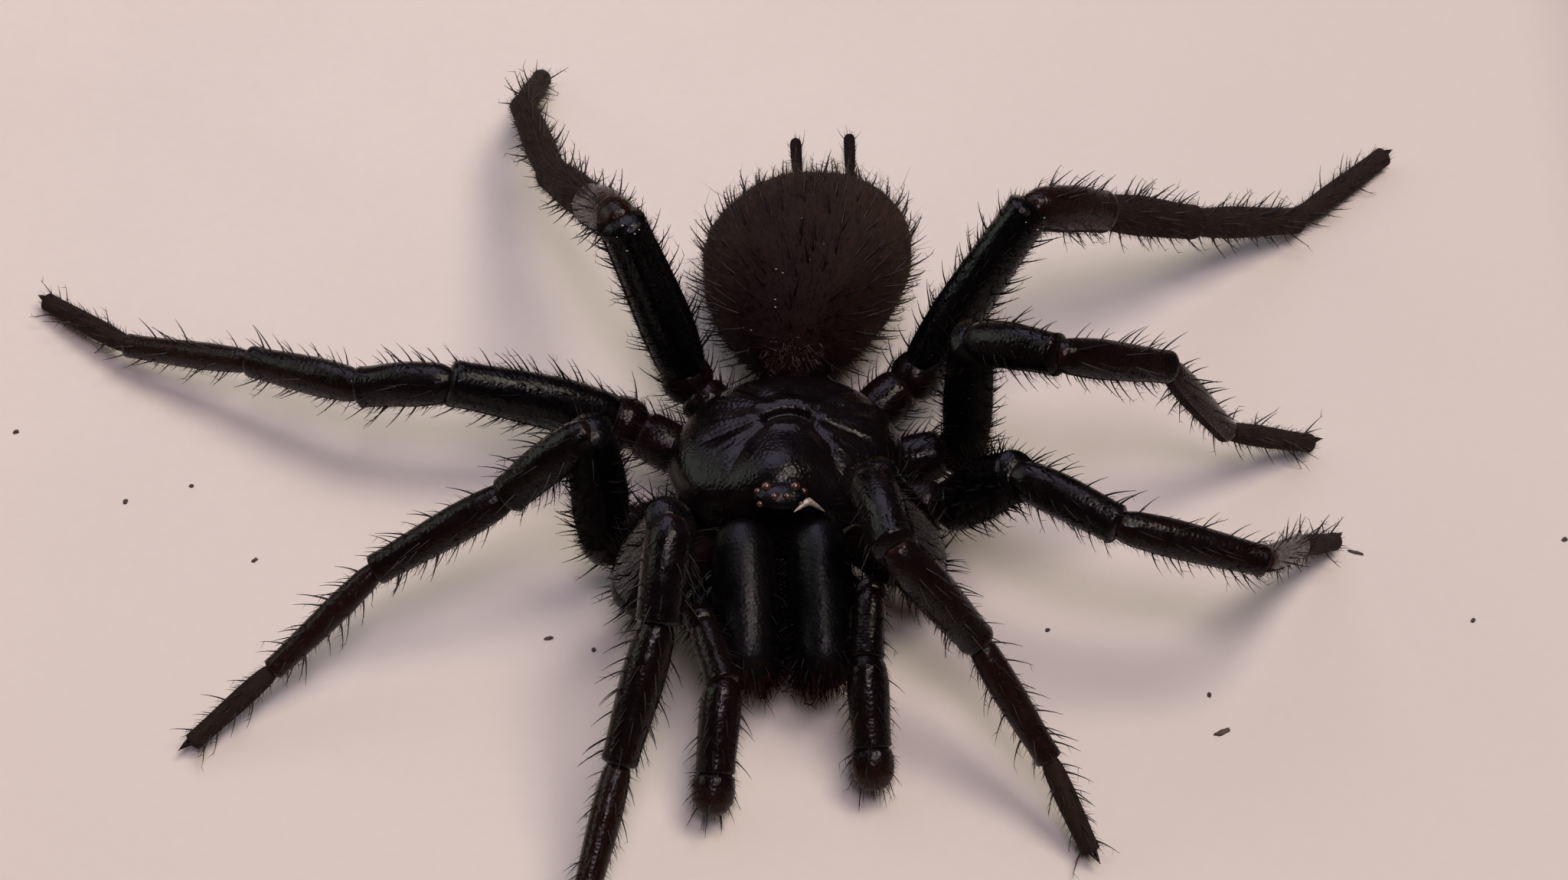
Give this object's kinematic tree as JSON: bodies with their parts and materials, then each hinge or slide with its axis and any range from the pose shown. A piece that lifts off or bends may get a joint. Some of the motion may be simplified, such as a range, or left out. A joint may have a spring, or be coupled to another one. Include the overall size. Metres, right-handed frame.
{
  "type": "framed funnel-web spider specimen",
  "caption": "Square open wooden shadow frame holding a dried black funnel-web spider fixed by its feet to a pale mounting board, with glossy spined legs and a velvety dark abdomen.",
  "frame": {"origin": "centre of the frame's underside, on the plane that the frame lies on", "axes": "+Z out of the open front of the frame; +Y to the frame's top rail; the spider's head points to -Y"},
  "size_m": [0.14, 0.14, 0.028],
  "materials": {
    "rail_wood": "satin",
    "mount_card": "matte",
    "backing": "matte",
    "black_cuticle": "gloss",
    "velvet_abdomen": "matte",
    "fang_cuticle": "gloss"
  },
  "bodies": {
    "root": {"frame_rail_bottom": "rail_wood", "frame_rail_right": "rail_wood", "frame_rail_top": "rail_wood", "frame_rail_left": "rail_wood", "backing_board": "backing", "mount_board": "mount_card", "cephalothorax": "black_cuticle", "abdomen": "velvet_abdomen", "chelicera_right": "black_cuticle", "chelicera_left": "black_cuticle", "fang_right": "fang_cuticle", "fang_left": "fang_cuticle", "pedipalp_right": "black_cuticle", "pedipalp_left": "black_cuticle", "leg_1_right": "black_cuticle", "leg_2_right": "black_cuticle", "leg_3_right": "black_cuticle", "leg_4_right": "black_cuticle", "leg_1_left": "black_cuticle", "leg_2_left": "black_cuticle", "leg_3_left": "black_cuticle", "leg_4_left": "black_cuticle", "spinneret_right": "velvet_abdomen", "spinneret_left": "velvet_abdomen"}
  },
  "joints": []
}
